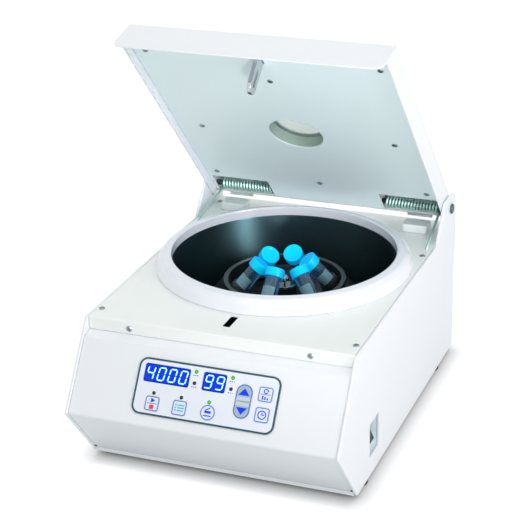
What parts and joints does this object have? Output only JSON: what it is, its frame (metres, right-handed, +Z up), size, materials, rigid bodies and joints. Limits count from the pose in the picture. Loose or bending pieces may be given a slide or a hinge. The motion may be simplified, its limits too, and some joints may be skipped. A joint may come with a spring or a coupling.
{
  "type": "low-speed bench centrifuge",
  "caption": "Bench centrifuge with a sprung lid, a round bowl, an angled rotor holding capped sample tubes, and a sloped control panel.",
  "frame": {"origin": "under the middle of the bounding box, on the bench", "axes": "+X to the right of the control panel, +Y to the back, +Z up"},
  "size_m": [0.2846, 0.4076, 0.4145],
  "materials": {
    "white_paint": "fine satin",
    "deck_paint": "fine satin",
    "ring_plastic": "gloss",
    "liner_plastic": "satin",
    "white_plastic": "satin",
    "bowl_black": "semi-gloss",
    "rotor_black": "semi-gloss with a grey rim",
    "nut_chrome": "polished",
    "zinc_steel": "zinc plated",
    "plate_aluminium": "milled",
    "motor_paint": "satin",
    "foot_rubber": "matte",
    "cap_blue": "satin",
    "tube_clear": "clear, with a white writing patch",
    "window_clear": "clear",
    "panel_film": "printed film",
    "key_film": "printed film",
    "display_blue": "lit digits on blue",
    "board_green": "printed circuit board",
    "black_plastic": "satin"
  },
  "bodies": {
    "case": {"base_tray": "deck_paint", "side_panel_left": "white_paint", "side_panel_right": "white_paint", "rear_panel": "white_paint", "front_panel": "white_paint", "top_cover": "deck_paint", "stop_block_left": "white_plastic", "stop_block_right": "white_plastic", "power_inlet": "black_plastic", "main_board": "board_green", "switch_frame": "white_plastic", "foot_front_left": "foot_rubber", "foot_front_right": "foot_rubber", "foot_rear_left": "foot_rubber", "foot_rear_right": "foot_rubber", "bowl_ring": "ring_plastic", "bowl": "bowl_black", "motor_plate": "plate_aluminium", "motor": "motor_paint", "shaft_bearing": "zinc_steel", "vibration_mount_1": "foot_rubber", "vibration_mount_2": "foot_rubber", "vibration_mount_3": "foot_rubber", "hinge_rod": "zinc_steel", "lid_spring_left": "zinc_steel", "lid_spring_right": "zinc_steel", "latch_bracket": "zinc_steel", "latch_solenoid": "motor_paint", "control_overlay": "panel_film", "control_board": "board_green", "display_speed": "display_blue", "display_time": "display_blue"},
    "lid": {"lid_shell": "white_paint", "lid_liner": "liner_plastic", "lid_window": "window_clear", "latch_tongue": "zinc_steel"},
    "rotor_unit": {"drive_shaft": "zinc_steel", "rotor": "rotor_black", "rotor_nut": "nut_chrome", "tube_1": "tube_clear", "cap_1": "cap_blue", "tube_3": "tube_clear", "cap_3": "cap_blue", "tube_4": "tube_clear", "cap_4": "cap_blue", "tube_5": "tube_clear", "cap_5": "cap_blue", "tube_6": "tube_clear", "cap_6": "cap_blue"},
    "sample_tube": {"tube_2": "tube_clear", "cap_2": "cap_blue"},
    "bolt": {"latch_bolt": "zinc_steel"},
    "rocker_button": {"rocker": "black_plastic"},
    "start_key": {"key_start": "key_film"},
    "program_key": {"key_program": "key_film"},
    "door_key": {"key_door": "key_film"},
    "up_key": {"key_up": "key_film"},
    "down_key": {"key_down": "key_film"},
    "mode_key": {"key_mode": "key_film"},
    "time_key": {"key_time": "key_film"}
  },
  "joints": [
    {"name": "lid_hinge", "type": "hinge", "parent": "case", "child": "lid", "pos_m": [0, 0.18294, 0.1772], "axis": [-1, 0, 0], "range_deg": [-47.5, 0], "stiffness_Nm_per_rad": 1.6, "springref_deg": 68.75, "deforming": ["lid_spring_left", "lid_spring_right"]},
    {"name": "rotor_spin", "type": "hinge", "parent": "case", "child": "rotor_unit", "pos_m": [0, 0.03714, 0.129], "axis": [0, 0, 1], "continuous": true},
    {"name": "tube_lift", "type": "slide", "parent": "rotor_unit", "child": "sample_tube", "axis": [-0.0229, -0.6557, 0.7547], "range_m": [0, 0.09]},
    {"name": "bolt_slide", "type": "slide", "parent": "case", "child": "bolt", "axis": [-1, 0, 0], "range_m": [0, 0.007], "stiffness_N_per_m": 200, "springref_m": -0.002},
    {"name": "rocker_tilt", "type": "hinge", "parent": "case", "child": "rocker_button", "pos_m": [0.126, -0.09336, 0.0435], "axis": [0, 1, 0], "range_deg": [0, 24]},
    {"name": "start_press", "type": "slide", "parent": "case", "child": "start_key", "axis": [0, 0.8148, -0.5797], "range_m": [0, 0.0004], "stiffness_N_per_m": 500, "springref_m": -0.001},
    {"name": "program_press", "type": "slide", "parent": "case", "child": "program_key", "axis": [0, 0.8148, -0.5797], "range_m": [0, 0.0004], "stiffness_N_per_m": 500, "springref_m": -0.001},
    {"name": "door_press", "type": "slide", "parent": "case", "child": "door_key", "axis": [0, 0.8148, -0.5797], "range_m": [0, 0.0004], "stiffness_N_per_m": 500, "springref_m": -0.001},
    {"name": "up_press", "type": "slide", "parent": "case", "child": "up_key", "axis": [0, 0.8148, -0.5797], "range_m": [0, 0.0004], "stiffness_N_per_m": 500, "springref_m": -0.001},
    {"name": "down_press", "type": "slide", "parent": "case", "child": "down_key", "axis": [0, 0.8148, -0.5797], "range_m": [0, 0.0004], "stiffness_N_per_m": 500, "springref_m": -0.001},
    {"name": "mode_press", "type": "slide", "parent": "case", "child": "mode_key", "axis": [0, 0.8148, -0.5797], "range_m": [0, 0.0004], "stiffness_N_per_m": 500, "springref_m": -0.001},
    {"name": "time_press", "type": "slide", "parent": "case", "child": "time_key", "axis": [0, 0.8148, -0.5797], "range_m": [0, 0.0004], "stiffness_N_per_m": 500, "springref_m": -0.001}
  ]
}
